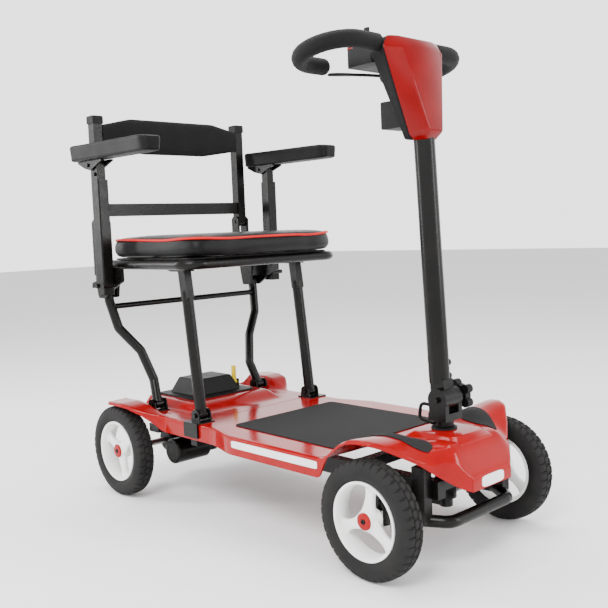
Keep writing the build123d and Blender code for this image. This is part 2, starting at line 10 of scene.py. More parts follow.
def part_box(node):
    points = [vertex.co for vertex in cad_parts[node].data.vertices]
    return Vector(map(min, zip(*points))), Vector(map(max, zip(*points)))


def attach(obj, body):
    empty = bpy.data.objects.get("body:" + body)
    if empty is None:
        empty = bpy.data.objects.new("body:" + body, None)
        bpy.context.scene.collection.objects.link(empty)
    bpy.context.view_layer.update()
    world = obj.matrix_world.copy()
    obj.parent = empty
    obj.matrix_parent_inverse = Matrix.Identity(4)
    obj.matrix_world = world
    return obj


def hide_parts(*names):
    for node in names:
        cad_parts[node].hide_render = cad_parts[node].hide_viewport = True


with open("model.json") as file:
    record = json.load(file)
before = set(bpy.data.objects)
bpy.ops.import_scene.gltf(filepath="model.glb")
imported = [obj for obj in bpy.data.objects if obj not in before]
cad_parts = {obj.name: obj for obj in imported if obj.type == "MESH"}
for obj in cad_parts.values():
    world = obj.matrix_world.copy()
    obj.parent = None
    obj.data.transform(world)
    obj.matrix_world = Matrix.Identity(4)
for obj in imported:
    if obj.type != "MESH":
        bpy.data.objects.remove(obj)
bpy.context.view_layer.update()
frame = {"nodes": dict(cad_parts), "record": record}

MM = 0.001
SIDES = (("left", 1), ("right", -1))
NODES = frame["nodes"]


def middle(node):
    low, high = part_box(node)
    return Vector([(a + b) / 2 for a, b in zip(low, high)])


FRONT_AXLE_Y = middle("front_left_tyre")[1]


def at(x, distance, z):
    """A point given in millimetres, with its length measured behind the front axle."""
    return Vector((x * MM, FRONT_AXLE_Y + distance * MM, z * MM))


def clamp01(value):
    return min(1.0, max(0.0, value))


def ease(low, high, value):
    """Rises smoothly from 0 at low to 1 at high."""
    t = clamp01((value - low) / (high - low))
    return t * t * (3 - 2 * t)


def along(points, value):
    """Straight-line look-up in a list of (place, height) pairs."""
    if value <= points[0][0]:
        return points[0][1]
    for (a, u), (b, v) in zip(points, points[1:]):
        if value <= b:
            return u + (v - u) * (value - a) / (b - a)
    return points[-1][1]


def soft_along(points, value, spread=7.0):
    """The same look-up with its corners rounded over the spread."""
    steps = (-1.0, -0.5, 0.0, 0.5, 1.0)
    return sum(along(points, value + spread * s) for s in steps) / len(steps)


# Materials ------------------------------------------------------------------------
def noise(tree, scale, detail=4.0, rough=0.5, kind="ShaderNodeTexNoise"):
    coords = tree.nodes.new("ShaderNodeTexCoord")
    texture = tree.nodes.new(kind)
    texture.inputs["Scale"].default_value = scale
    if kind == "ShaderNodeTexNoise":
        texture.inputs["Detail"].default_value = detail
        texture.inputs["Roughness"].default_value = rough
    tree.links.new(coords.outputs["Object"], texture.inputs["Vector"])
    return texture


def ramp(tree, source, stops):
    node = tree.nodes.new("ShaderNodeValToRGB")
    elements = node.color_ramp.elements
    for element, (place, colour) in zip(elements, stops):
        element.position = place
        element.color = (*colour, 1.0) if isinstance(colour, tuple) else (colour, colour, colour, 1.0)
    tree.links.new(source, node.inputs["Fac"])
    return node


def material(name, colour, colour_2=None, rough=(0.3, 0.4), metallic=0.0, coat=0.0, gloss=0.14, grain=0.0,
             grain_scale=900.0, cells=False, patch_scale=25.0, sheen=0.0, wave=0.0, wave_scale=18.0):
    """A surface with patchy colour and roughness, a fine grain and, if asked, a slow waviness."""
    made = bpy.data.materials.new(name)
    made.use_nodes = True
    tree = made.node_tree
    shader = tree.nodes["Principled BSDF"]
    shader.inputs["Metallic"].default_value = metallic
    shader.inputs["Specular IOR Level"].default_value = gloss
    shader.inputs["Coat Weight"].default_value = coat
    shader.inputs["Coat Roughness"].default_value = 0.06
    shader.inputs["Sheen Weight"].default_value = sheen
    patches = noise(tree, patch_scale)
    tint = ramp(tree, patches.outputs["Fac"], [(0.32, colour), (0.7, colour_2 or colour)])
    tree.links.new(tint.outputs["Color"], shader.inputs["Base Color"])
    shine = ramp(tree, patches.outputs["Fac"], [(0.3, rough[0]), (0.75, rough[1])])
    tree.links.new(shine.outputs["Color"], shader.inputs["Roughness"])
    last = None
    if grain:
        kind = "ShaderNodeTexVoronoi" if cells else "ShaderNodeTexNoise"
        fine = noise(tree, grain_scale, 3.0, 0.6, kind)
        bump = tree.nodes.new("ShaderNodeBump")
        bump.inputs["Strength"].default_value = grain
        bump.inputs["Distance"].default_value = 0.0006
        tree.links.new(fine.outputs["Distance" if cells else "Fac"], bump.inputs["Height"])
        last = bump
    if wave:
        slow = noise(tree, wave_scale, 2.0)
        bump = tree.nodes.new("ShaderNodeBump")
        bump.inputs["Strength"].default_value = wave
        bump.inputs["Distance"].default_value = 0.004
        tree.links.new(slow.outputs["Fac"], bump.inputs["Height"])
        if last:
            tree.links.new(last.outputs["Normal"], bump.inputs["Normal"])
        last = bump
    if last:
        tree.links.new(last.outputs["Normal"], shader.inputs["Normal"])
    return made


RED = material("red_gloss", (0.25, 0.0003, 0.0015), (0.29, 0.0005, 0.002), (0.12, 0.19), gloss=0.2,
               wave=0.04, wave_scale=9)
# Painted shade: the tiller head gets a darker copy of the body red, standing in for the shade on the head
SHADED_HEAD_RED = material("red_gloss_head_painted_shade", (0.15, 0.0002, 0.001), (0.18, 0.0003, 0.0014), (0.10, 0.17),
                    gloss=0.2, wave=0.03, wave_scale=12)
FRAME_BLACK = material("black_powder_coat", (0.0022, 0.0019, 0.0018), (0.004, 0.0034, 0.003),
                       (0.22, 0.32), gloss=0.18, grain=0.12, grain_scale=1400)
PLASTIC = material("black_plastic", (0.0022, 0.0022, 0.0024), (0.004, 0.004, 0.0042), (0.42, 0.55),
                   grain=0.25, grain_scale=1600)
FOAM = material("grip_foam", (0.003, 0.003, 0.003), (0.005, 0.005, 0.005), (0.62, 0.75), grain=0.5,
                grain_scale=2200, cells=True, sheen=0.03)
VINYL = material("cushion_vinyl", (0.0022, 0.0022, 0.0024), (0.0035, 0.0035, 0.0038), (0.3, 0.4), grain=0.35,
                 grain_scale=1100, cells=True, wave=0.35, wave_scale=16)
PIPING = material("red_piping", (0.46, 0.006, 0.006), (0.52, 0.01, 0.01), (0.35, 0.45), grain=0.3,
                  grain_scale=1500)
BAND = material("band_fabric", (0.002, 0.002, 0.0022), (0.0035, 0.0035, 0.0037), (0.7, 0.85), grain=0.7,
                grain_scale=1800, cells=True, sheen=0.03)
TREAD = material("tyre_rubber", (0.010, 0.0096, 0.0095), (0.018, 0.0172, 0.017), (0.62, 0.78), grain=0.35,
                 grain_scale=1200)
WHITE = material("white_rim_paint", (0.80, 0.80, 0.79), (0.86, 0.86, 0.85), (0.28, 0.38), coat=0.2,
                 wave=0.03)
GRIT = material("deck_grit", (0.010, 0.010, 0.0105), (0.026, 0.025, 0.025), (0.8, 0.95), grain=1.0,
                grain_scale=1500, patch_scale=1300)
STRIP = material("white_strip", (0.82, 0.82, 0.83), (0.88, 0.88, 0.88), (0.3, 0.42), grain=0.3,
                 grain_scale=700, cells=True)
STEEL = material("worn_steel", (0.30, 0.29, 0.28), (0.42, 0.41, 0.40), (0.3, 0.45), metallic=1.0,
                 grain=0.2, grain_scale=800)
YELLOW = material("yellow_grip", (0.80, 0.56, 0.01), (0.86, 0.62, 0.02), (0.35, 0.45), grain=0.2)
MATERIALS = {"tyre": TREAD, "rim_white": WHITE, "steel": STEEL, "black_frame": FRAME_BLACK,
             "red_cover": RED, "black_plastic": PLASTIC, "mat": GRIT, "white_strip": STRIP,
             "cushion_vinyl": VINYL, "grip_foam": FOAM, "pad_black": PLASTIC, "band_fabric": BAND,
             "yellow_lever": YELLOW}

for entry in frame["record"]["subparts"]:
    slots = NODES[entry["node"]].material_slots
    for slot in slots:
        slot.material = MATERIALS[entry["material_slot"]]


# Mesh helpers ---------------------------------------------------------------------
BEVEL_STEPS = 3
BEVEL_ANGLE = radians(28)    # edges sharper than this are rounded where a bevel is asked for
SHARP_ANGLE = radians(38)    # edges sharper than this stay crisp in the shading


def finish_piece(name, vertices, faces, surface, body, replaces=(), bevel=0.0, subdivide=0,
                 thickness=0.0):
    """Makes the piece, closes its form with modifiers, and hangs it on its body."""
    mesh = bpy.data.meshes.new(name)
    mesh.from_pydata([tuple(v) for v in vertices], [], faces)
    made = bpy.data.objects.new(name, mesh)
    bpy.context.scene.collection.objects.link(made)
    form = bmesh.new()
    form.from_mesh(mesh)
    bmesh.ops.remove_doubles(form, verts=form.verts, dist=1e-6)
    if not thickness:
        bmesh.ops.recalc_face_normals(form, faces=form.faces)
    form.to_mesh(mesh)
    form.free()
    if thickness:
        shell = made.modifiers.new("thickness", "SOLIDIFY")
        shell.thickness = thickness
        shell.offset = -1.0
    if bevel:
        edge = made.modifiers.new("edges", "BEVEL")
        edge.width = bevel
        edge.segments = BEVEL_STEPS
        edge.limit_method = "ANGLE"
        edge.angle_limit = BEVEL_ANGLE
    if subdivide:
        smooth = made.modifiers.new("smooth", "SUBSURF")
        smooth.levels = smooth.render_levels = subdivide
    mesh.materials.append(surface)
    apply_modifiers(made)
    made.data.shade_smooth()
    made.data.set_sharp_from_angle(angle=SHARP_ANGLE)
    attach(made, body)
    if replaces:
        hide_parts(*replaces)
    return made


def apply_modifiers(made):
    bpy.context.view_layer.update()
    depsgraph = bpy.context.evaluated_depsgraph_get()
    final = bpy.data.meshes.new_from_object(made.evaluated_get(depsgraph))
    made.modifiers.clear()
    made.data = final


def grid_faces(rows, columns, closed=False, start=0):
    """Quads of a grid of points, row after row; closed joins the last column to the first."""
    faces = []
    for i in range(rows - 1):
        for j in range(columns if closed else columns - 1):
            k = (j + 1) % columns
            faces.append((start + i * columns + j, start + i * columns + k,
                          start + (i + 1) * columns + k, start + (i + 1) * columns + j))
    return faces


def tube_mesh(loops, caps=True):
    """Vertices and faces of a skin over closed loops of points."""
    count = len(loops[0])
    vertices = [point for loop in loops for point in loop]
    faces = grid_faces(len(loops), count, closed=True)
    if caps:
        faces.append(tuple(range(count))[::-1])
        faces.append(tuple(range(count * (len(loops) - 1), count * len(loops))))
    return vertices, faces


def superellipse(half_a, half_b, power, count):
    """Points (a, b) of a rounded rectangle."""
    points = []
    for i in range(count):
        t = 2 * pi * (i + 0.5) / count
        c, s = cos(t), sin(t)
        points.append((half_a * abs(c) ** (2 / power) * (1 if c >= 0 else -1),
                       half_b * abs(s) ** (2 / power) * (1 if s >= 0 else -1)))
    return points


def join(pieces):
    """One mesh from several (vertices, faces) pairs."""
    vertices, faces = [], []
    for points, sides in pieces:
        start = len(vertices)
        vertices += list(points)
        faces += [tuple(start + i for i in face) for face in sides]
    return vertices, faces


def wire(name, points, radius, surface, body, closed=False, replaces=()):
    """A round cord or tube along smooth points, with its ends capped flat."""
    curve = bpy.data.curves.new(name, "CURVE")
    curve.dimensions = "3D"
    curve.bevel_depth = radius
    curve.bevel_resolution = 6
    curve.resolution_u = 6
    curve.use_fill_caps = True
    spline = curve.splines.new("NURBS")
    spline.points.add(len(points) - 1)
    for target, point in zip(spline.points, points):
        target.co = (*point, 1.0)
    spline.order_u = 3
    spline.use_endpoint_u = not closed
    spline.use_cyclic_u = closed
    holder = bpy.data.objects.new(name + "_curve", curve)
    bpy.context.scene.collection.objects.link(holder)
    bpy.context.view_layer.update()
    mesh = bpy.data.meshes.new_from_object(holder.evaluated_get(bpy.context.evaluated_depsgraph_get()))
    bpy.data.objects.remove(holder)
    made = bpy.data.objects.new(name, mesh)
    bpy.context.scene.collection.objects.link(made)
    mesh.materials.clear()
    mesh.materials.append(surface)
    mesh.shade_smooth()
    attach(made, body)
    if replaces:
        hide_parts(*replaces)
    return made


# Wheels ---------------------------------------------------------------------------
TREAD_BLOCKS = 40
STEPS = 8                    # mesh steps around each tread block
GROOVE = 2.6                 # depth of the cuts
TYRE_HALF = 21.0             # half the tyre's width
CROWN = 99.9                 # radius at the middle of the tread
SHOULDER = 88.0              # radius where the tread ends
TREAD_POINTS = 40            # mesh steps across the tread


def tread_depth(across, turn):
    """How far the tread is cut in, at a place across the tyre (-1 to 1) and a turn (0 to 1)."""
    zigzag = 0.16 * abs(((turn * TREAD_BLOCKS) % 1.0) - 0.5)
    if abs(abs(across) - (0.26 + zigzag)) < 0.055:
        return GROOVE
    shift = 0.5 if abs(across) < 0.3 else 0.0
    phase = (turn * TREAD_BLOCKS + shift + 0.35 * across) % 1.0
    if phase < 0.2 and abs(across) < 0.97:
        return GROOVE
    return 0.0


def make_tyre(name, body, centre):
    profile = []
    for i in range(TREAD_POINTS + 1):
        across = -1 + 2 * i / TREAD_POINTS
        lift = (1 - abs(across) ** 4.2) ** 0.5
        profile.append((across * TYRE_HALF * 0.93, SHOULDER + (CROWN - SHOULDER) * lift, across))
    profile = [(-15.5, 66.2, None), (-18, 68.5, None), (-20.6, 76, None), (-21, 83, None)] + profile
    profile += [(21, 83, None), (20.6, 76, None), (18, 68.5, None), (15.5, 66.2, None)]
    around = TREAD_BLOCKS * STEPS
    loops = []
    for n in range(around):
        turn = n / around
        angle = 2 * pi * turn
        loop = []
        for x, radius, across in profile:
            cut = tread_depth(across, turn) if across is not None else 0.0
            reach = (radius - cut) * MM
            loop.append(centre + Vector((x * MM, reach * cos(angle), reach * sin(angle))))
        loops.append(loop)
    vertices = [p for loop in loops for p in loop]
    count = len(profile)
    faces = []
    for n in range(around):
        m = (n + 1) % around
        for j in range(count):
            k = (j + 1) % count
            faces.append((n * count + j, n * count + k, m * count + k, m * count + j))
    return finish_piece(name + "_tread", vertices, faces, TREAD, body, (name + "_tyre",))


def ring_of(profile, centre, around=96):
    """A turned ring about the wheel's axis from a closed profile of (x, radius)."""
    vertices, count = [], len(profile)
    for n in range(around):
        angle = 2 * pi * n / around
        for x, radius in profile:
            vertices.append(centre + Vector((x * MM, radius * MM * cos(angle), radius * MM * sin(angle))))
    faces = []
    for n in range(around):
        m = (n + 1) % around
        for j in range(count):
            k = (j + 1) % count
            faces.append((n * count + j, n * count + k, m * count + k, m * count + j))
    return vertices, faces


def spoke(centre, side, turn):
    """A flared spoke from the hub to the rim."""
    loops = []
    for i in range(13):
        t = i / 12
        radius = 12 + 50 * t
        width = 7.5 + 7.5 * (1 - t) ** 3 + 11 * t ** 5
        depth = 5.5 + 1.5 * (1 - t)
        x_mid = side * (4.5 - 2.5 * t)
        loop = []
        for a, b in superellipse(width, depth, 2.8, 20):
            y, z = a, radius
            loop.append(centre + Vector(((x_mid + b) * MM, (y * cos(turn) - z * sin(turn)) * MM,
                                         (y * sin(turn) + z * cos(turn)) * MM)))
        loops.append(loop)
    return tube_mesh(loops)


def make_rim(name, body, centre, side, turn):
    lip = [(-18, 66), (-18.6, 64.5), (-17.5, 61.5), (-14, 59.5), (0, 58.2), (14, 59.5), (17.5, 61.5),
           (18.6, 64.5), (18, 66), (13, 66.6), (-13, 66.6)]
    hub = [(-13, 9), (-13, 15.5), (-11.5, 17), (9, 18), (12.5, 17.2), (14, 15.5), (14, 9)]
    hub = [(side * x, r) for x, r in hub]
    parts = [ring_of(lip, centre), ring_of(hub, centre, 64)]
    parts += [spoke(centre, side, turn + 2 * pi * n / 3) for n in range(3)]
    vertices, faces = join(parts)
    finish_piece(name + "_wheel_disc", vertices, faces, WHITE, body, (name + "_rim",))
    cap = [(14, 0.01), (14, 14.6), (15.4, 14.6), (16.6, 13.4), (17, 12), (17, 5.4), (16.4, 5.0),
           (16.4, 0.01)]
    vertices, faces = ring_of([(side * x, r) for x, r in cap], centre, 48)
    finish_piece(name + "_hub_cap", vertices, faces, RED, body)
    bolt = [(15.8, 0.01), (15.8, 4.2), (17.6, 4.2), (18.4, 3.4), (18.4, 1.8), (17.2, 1.6), (17.2, 0.01)]
    vertices, faces = ring_of([(side * x, r) for x, r in bolt], centre, 24)
    finish_piece(name + "_hub_bolt", vertices, faces, FRAME_BLACK, body)


for word, side in SIDES:
    for end in ("front", "rear"):
        name = f"{end}_{word}"
        centre = middle(name + "_tyre")
        make_tyre(name, name + "_wheel", centre)
        make_rim(name, name + "_wheel", centre, side, radians(8 if end == "front" else 52))

# Body covers ----------------------------------------------------------------------
DECK = 186.0
SEAM = 502.0
SHELL = 3.4
NOSE_LINE = [(-107, 152), (-101, 160), (-90, 186), (-76, 207), (-55, 211), (0, 208), (40, 204),
             (62, 194), (85, 187), (100, 186)]
HUMP_LINE = [(-107, 151), (-70, 176), (-40, 207), (-14, 225), (10, 230), (34, 228), (52, 220),
             (68, 208), (84, 194), (98, 187), (112, 186)]
FRONT_WIDTH = [(-107, 52), (-100, 66), (-70, 103), (-40, 150), (-10, 190), (8, 201), (34, 205),
               (350, 205), (425, 181), (600, 181)]
FRONT_LOWER = [(-107, 131), (-90, 144), (-70, 163), (-40, 202), (-10, 222), (12, 228), (38, 225),
               (56, 216), (68, 206), (84, 188), (93, 172), (101, 154), (106, 152)]


def front_height(x, distance):
    centre = soft_along(NOSE_LINE, distance)
    hump = soft_along(HUMP_LINE, distance)
    crest = 6.0 * ease(-80, -20, distance) * (1 - ease(60, 110, distance)) * (1 - ease(120, 200, abs(x)))
    return centre + (hump - crest - centre) * ease(62, 118, abs(x))


REAR_WIDTH = [(502, 181), (596, 181), (610, 186), (630, 206), (655, 226), (685, 234), (734, 235),
              (740, 232), (741, 168), (764, 158)]
REAR_LOWER = [(502, 152), (596, 153), (608, 157), (620, 172), (640, 190), (664, 203), (700, 207),
              (738, 207), (741, 184), (764, 184)]
FENDER = [(596, 0), (620, 5), (640, 13), (662, 22), (690, 26), (738, 25)]


def rear_height(x, distance):
    side = abs(x)
    raised = 16.5 * ease(536, 600, distance) * (1 - ease(104, 122, side))
    fender = soft_along(FENDER, distance) * ease(150, 184, side)
    return DECK + raised + fender


def panel(name, places, half_width, height, lower, columns, body, replaced):
    """A moulded cover: a top that follows its height, and sides down to its lower line."""
    inset, drop = 3.0, 1.2
    rows = []
    for d in places:
        w = soft_along(half_width, d, 3.0)
        top = [(s * (w - inset), d, height(s * (w - inset), d))
               for s in [-1 + 2 * j / (columns - 1) for j in range(columns)]]
        row = []
        for side, edge in ((-1, top[0]), (1, top[-1])):
            base = min(soft_along(lower, d, 2.5), edge[2] - 6)
            wall = [(side * w, d, base), (side * w, d, edge[2] - inset - drop),
                    (side * (w - 0.9), d, edge[2] - drop)]
            row.append(wall)
        rows.append([at(*p) for p in row[0] + top + row[1][::-1]])
    count = len(rows[0])
    # The two ends turn down as well.
    for end, index in ((-1, 0), (1, -1)):
        d = places[index] + end * 1.2
        w = soft_along(half_width, places[index], 3.0)
        base = soft_along(lower, places[index], 2.5)
        edge = []
        for p in rows[index]:
            shift = Vector((0, end * 1.2 * MM, 0))
            edge.append(Vector((p.x, p.y, min(p.z, base * MM))) + shift)
        middle_row = [Vector((p.x, p.y, p.z - 2.5 * MM if p.z > base * MM + 3 * MM else p.z))
                      + Vector((0, end * 1.2 * MM, 0)) for p in rows[index]]
        if end < 0:
            rows = [edge, middle_row] + rows
        else:
            rows = rows + [middle_row, edge]
    vertices = [p for row in rows for p in row]
    faces = grid_faces(len(rows), count)
    return finish_piece(name, vertices, faces, RED, body, replaced, thickness=SHELL * MM)


front_places = [-105.5, -104, -101, -98] + [-94 + 4 * i for i in range(55)] + \
    [130 + 20 * i for i in range(18)] + [488, SEAM - 1.4]
panel("front_cover_shell", front_places, FRONT_WIDTH, front_height, FRONT_LOWER, 61, "root",
      ("front_body_cover",))
rear_places = [SEAM + 1.6, 508] + [514 + 4 * i for i in range(56)] + [736, 738, 740.5, 742, 746, 754, 762]
panel("rear_cover_shell", rear_places, REAR_WIDTH, rear_height, REAR_LOWER, 81, "root",
      ("rear_body_cover",))


def patch(name, outline, height, lift, surface, replaced=(), steps=40, depth=1.6):
    """A thin sheet lying on the cover, inside the outline (x, distance)."""
    low_d, high_d = min(d for _, d in outline), max(d for _, d in outline)

    def span(d):
        hits = []
        for (xa, da), (xb, db) in zip(outline, outline[1:] + outline[:1]):
            if (da - d) * (db - d) <= 0 and da != db:
                hits.append(xa + (xb - xa) * (d - da) / (db - da))
        return min(hits), max(hits)

    rows = []
    for i in range(steps + 1):
        d = low_d + (high_d - low_d) * (0.004 + 0.992 * (0.5 - 0.5 * cos(pi * i / steps)))
        a, b = span(d)
        rows.append([at(a + (b - a) * j / 24, d, height(a + (b - a) * j / 24, d) + lift)
                     for j in range(25)])
    vertices = [p for row in rows for p in row]
    return finish_piece(name, vertices, grid_faces(len(rows), 25), surface, "root", replaced,
                        thickness=-depth * MM)


def rounded(low_x, high_x, low_d, high_d, radius, skew=0.0):
    """Outline (x, distance) of a rounded rectangle, wider at one end by the skew."""
    points = []
    corners = ((high_x, high_d, 0), (low_x, high_d, 90), (low_x, low_d, 180), (high_x, low_d, 270))
    for x, d, start in corners:
        cx = x - radius if x == high_x else x + radius
        cd = d - radius if d == high_d else d + radius
        for k in range(7):
            angle = radians(start + 15 * k)
            px, pd = cx + radius * cos(angle), cd + radius * sin(angle)
            widen = 1 + skew * (pd - high_d) / (low_d - high_d)
            points.append((px * widen, pd))
    return points


patch("deck_mat_sheet", rounded(-140, 140, 112, 413, 14, 0.035), front_height, 0.3, GRIT,
      ("deck_mat",))
EAR_INNER = [(-52, 90), (-42, 80), (-20, 76), (10, 82), (40, 96), (113, 104)]
EAR_OUTER = [(-52, 96), (-42, 107), (-25, 119), (0, 130), (20, 136), (50, 142), (113, 142)]
for word, side in SIDES:
    places = [-50 + 5.4 * i for i in range(31)]
    outline = [(side * soft_along(EAR_INNER, d, 5.0), d) for d in places]
    outline += [(side * soft_along(EAR_OUTER, d, 5.0), d) for d in places[::-1]]
    patch(f"{word}_ear_mat", outline, front_height, 0.25, GRIT)

# Raised boss under the tiller, with chamfered edges.
boss = []
for z, half, near, far in ((192, 64, -82, 52), (206, 58, -76, 44), (215.5, 46, -64, 33)):
    cut = 14
    boss.append([at(x, d, z) for x, d in (
        (half, near + cut), (half, far - cut), (half - cut, far), (-half + cut, far),
        (-half, far - cut), (-half, near + cut), (-half + cut, near), (half - cut, near))])
vertices, faces = tube_mesh(boss)
finish_piece("tiller_boss", vertices, faces, RED, "root", bevel=0.0028)
collar = [(15.5, 213), (21, 213), (23, 216), (22.5, 219), (18.4, 221), (17.4, 220)]
loops = [[at(r * cos(2 * pi * n / 48), -8 + r * sin(2 * pi * n / 48), z) for n in range(48)]
         for r, z in collar]
vertices, faces = tube_mesh(loops + [loops[0]], caps=False)
finish_piece("stem_gaiter", vertices, faces, PLASTIC, "root")


def plaque(name, corners, normal, depth, surface, replaced=(), body="root", bevel=0.0015):
    """A thin plate with rounded edges on a flat outline of points."""
    back = [p - normal * depth for p in corners]
    vertices, faces = tube_mesh([back, corners])
    return finish_piece(name, vertices, faces, surface, body, replaced, bevel=bevel)


badge = [at(a, -108.7, 144 + b) for a, b in superellipse(31, 9.5, 5, 40)]
plaque("nose_badge_plate", badge, Vector((0, -1, 0)), 0.003, STRIP, ("nose_badge",),
       bevel=0.0006)
for word, side in SIDES:
    strip = [at(side * 206, 222 + a, 173.5 + b) for a, b in superellipse(116, 6.8, 14, 60)]
    plaque(f"side_strip_{word}", strip, Vector((side, 0, 0)), 0.0012, STRIP,
           ("side_strips",) if side > 0 else (), bevel=0.0003)


# Cushion --------------------------------------------------------------------------
CUSHION_POWER = 6.5          # squareness of the cushion seen from above


def cushion_outline(grow, power=CUSHION_POWER, count=160):
    low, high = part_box("seat_cushion")
    half_x, half_y = (high[0] - low[0]) / 2, (high[1] - low[1]) / 2
    centre = (Vector(low) + Vector(high)) / 2
    return [(centre.x + a, centre.y + b) for a, b in
            superellipse(half_x + grow, half_y + grow, power, count)], centre, Vector(low), Vector(high)


def dent(x, y):
    """Slow waves of a soft stuffed edge, in metres."""
    return 0.0022 * sin(x * 46 + 1.3) * cos(y * 38 + 0.7) + 0.0014 * sin(x * 95 - y * 70)


_, centre, low, high = cushion_outline(0.0)
seam_z = high.z - 0.011
levels = [(-0.030, low.z + 0.0005, 0), (-0.008, low.z + 0.001, 0), (-0.003, low.z + 0.006, 0.3),
          (0.0, low.z + 0.013, 0.8), (0.0005, low.z + 0.020, 1), (-0.0005, low.z + 0.027, 1),
          (-0.0015, low.z + 0.033, 0.6), (-0.0035, seam_z - 0.001, 0.2), (-0.0045, seam_z + 0.001, 0.2),
          (-0.006, seam_z + 0.004, 0.4), (-0.016, seam_z + 0.0075, 0.8), (-0.034, seam_z + 0.0095, 1),
          (-0.065, seam_z + 0.0105, 1), (-0.11, seam_z + 0.011, 0.6), (-0.15, seam_z + 0.0112, 0.3)]
loops = []
for grow, z, wavy in levels:
    ring, _, _, _ = cushion_outline(grow + 0.002, CUSHION_POWER - 3.0 * clamp01(-grow / 0.15))
    loop = []
    for x, y in ring:
        push = dent(x, y) * wavy
        away = Vector((x - centre.x, y - centre.y, 0)).normalized()
        rise = 0.35 * push if grow < -0.01 and z > seam_z else 0.0
        loop.append(Vector((x, y, z + rise)) + away * (push if z < seam_z + 0.005 else 0))
    loops.append(loop)
vertices, faces = tube_mesh(loops)
cushion = finish_piece("seat_cushion_cover", vertices, faces, VINYL, "seat",
                       ("seat_cushion",), subdivide=1)
ring, _, _, _ = cushion_outline(-0.0008)
route = [Vector((x, y, seam_z + 0.0012 + 0.0022 * sin(x * 30 + y * 22))) for x, y in ring[::2]]
wire("seat_cushion_piping", route, 0.0026, PIPING, "seat", closed=True)


# Armrests and backrest band -------------------------------------------------------
def make_pad(word):
    low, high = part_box(f"{word}_armrest_pad")
    length, half_w = high[1] - low[1], (high[0] - low[0]) / 2
    mid_x = (low[0] + high[0]) / 2
    loops = []
    for i in range(41):
        t = i / 40
        y = low[1] + length * (0.5 - 0.5 * cos(pi * t))
        nose = clamp01((y - low[1]) / 0.03)
        tail = clamp01((high[1] - y) / 0.012)
        pinch = (1 - (1 - nose) ** 2.4) ** 0.45 if nose < 1 else 1.0
        pinch = min(pinch, 0.55 + 0.45 * (1 - (1 - tail) ** 2) ** 0.5)
        bottom = low[2] + 0.0002
        top = high[2] - 0.0005 - 0.0045 * (1 - t)
        loop = []
        for a, b in superellipse(1, 1, 7, 36):
            wide = half_w * (0.985 if b > 0.1 else 0.90) * (0.4 + 0.6 * pinch)
            hollow = 0.0012 * (1 - abs(b)) if abs(a) > 0.9 else 0.0
            x = mid_x + a * wide - (1 if a > 0 else -1) * hollow
            rise = (top - bottom) / 2
            loop.append(Vector((x, y, (top + bottom) / 2 + b * rise * (0.7 + 0.3 * pinch))))
        loops.append(loop)
    vertices, faces = tube_mesh(loops)
    pad = finish_piece(f"{word}_armrest_padding", vertices, faces, PLASTIC, f"{word}_armrest",
                       (f"{word}_armrest_pad",))


for word, _ in SIDES:
    make_pad(word)

BAND_TOP = [(0, 838.5), (116, 838.5), (130, 835.5), (188.6, 822.5)]
BAND_BOTTOM = [(0, 760.5), (84, 760.5), (98, 762), (188.6, 775.5)]
columns = 61
rings = []
for j in range(columns):
    x = -188.6 + 377.2 * j / (columns - 1)
    top, bottom = along(BAND_TOP, abs(x)), along(BAND_BOTTOM, abs(x))
    mid, half = (top + bottom) / 2, (top - bottom) / 2
    thick = 6.4 + 3.0 * (1 - (abs(x) / 188.6) ** 2)
    rings.append([at(x, 770.0 + b * (1 + 0.06 * sin(x * 0.09)), mid + a)
                  for a, b in superellipse(half, thick, 3.6, 32)])
vertices, faces = tube_mesh(rings)
band = finish_piece("backrest_band_padding", vertices, faces, BAND, "backrest",
                    ("backrest_band",))

# Tiller head ----------------------------------------------------------------------
front_shell = [
    [at(*p) for p in ((-13.5, 4, 718.8), (13.5, 4, 718.8), (26, 24, 718.5), (-26, 24, 718.5))],
    [at(*p) for p in ((-19, -8, 733), (19, -8, 733), (35, 25.5, 729), (-35, 25.5, 729))],
    [at(*p) for p in ((-53, 16.4, 872), (53, 16.4, 872), (79.8, 39.6, 874), (-79.8, 39.6, 874))],
    [at(*p) for p in ((-44.5, 34, 894.8), (44.5, 34, 894.8), (69, 39.8, 894.8), (-69, 39.8, 894.8))],
]
vertices, faces = tube_mesh(front_shell)
# The front shell takes the darker red, which is painted shade
finish_piece("head_front_shell", vertices, faces, SHADED_HEAD_RED, "tiller",
             ("head_front_cover",), bevel=0.004)
rear_shell = [
    [at(*p) for p in ((-31, 24.4, 719.5), (31, 24.4, 719.5), (27, 43, 721), (-27, 43, 721))],
    [at(*p) for p in ((-35, 26, 733), (35, 26, 733), (31, 46, 736), (-31, 46, 736))],
    [at(*p) for p in ((-78.5, 39.8, 873), (78.5, 39.8, 873), (71.5, 77, 872), (-71.5, 77, 872))],
    [at(*p) for p in ((-69, 40, 893), (69, 40, 893), (61, 73, 892), (-61, 73, 892))],
]
vertices, faces = tube_mesh(rear_shell)
finish_piece("head_rear_shell", vertices, faces, PLASTIC, "tiller",
             ("head_rear_cover",), bevel=0.005)
lid = [[at(x, d, z) for x, d in ((-s, 74), (s, 74), (s - 4, e), (-s + 4, e))]
       for z, s, e in ((887, 59, 145.5), (894, 58, 144.5), (896.4, 52, 138))]
vertices, faces = tube_mesh(lid)
# The lid takes the darker red, which is painted shade
finish_piece("console_lid", vertices, faces, SHADED_HEAD_RED, "tiller", bevel=0.0025)


LOOP_TILT = radians(11.3)    # the loops drop towards the rider
LOOP_RADIUS = 60.0
LOOP_CENTRE = 116.0          # distance of the arc's centre from the middle of the head
LOOP_START = 57.0, 884.0     # distance and height where the loops leave the head


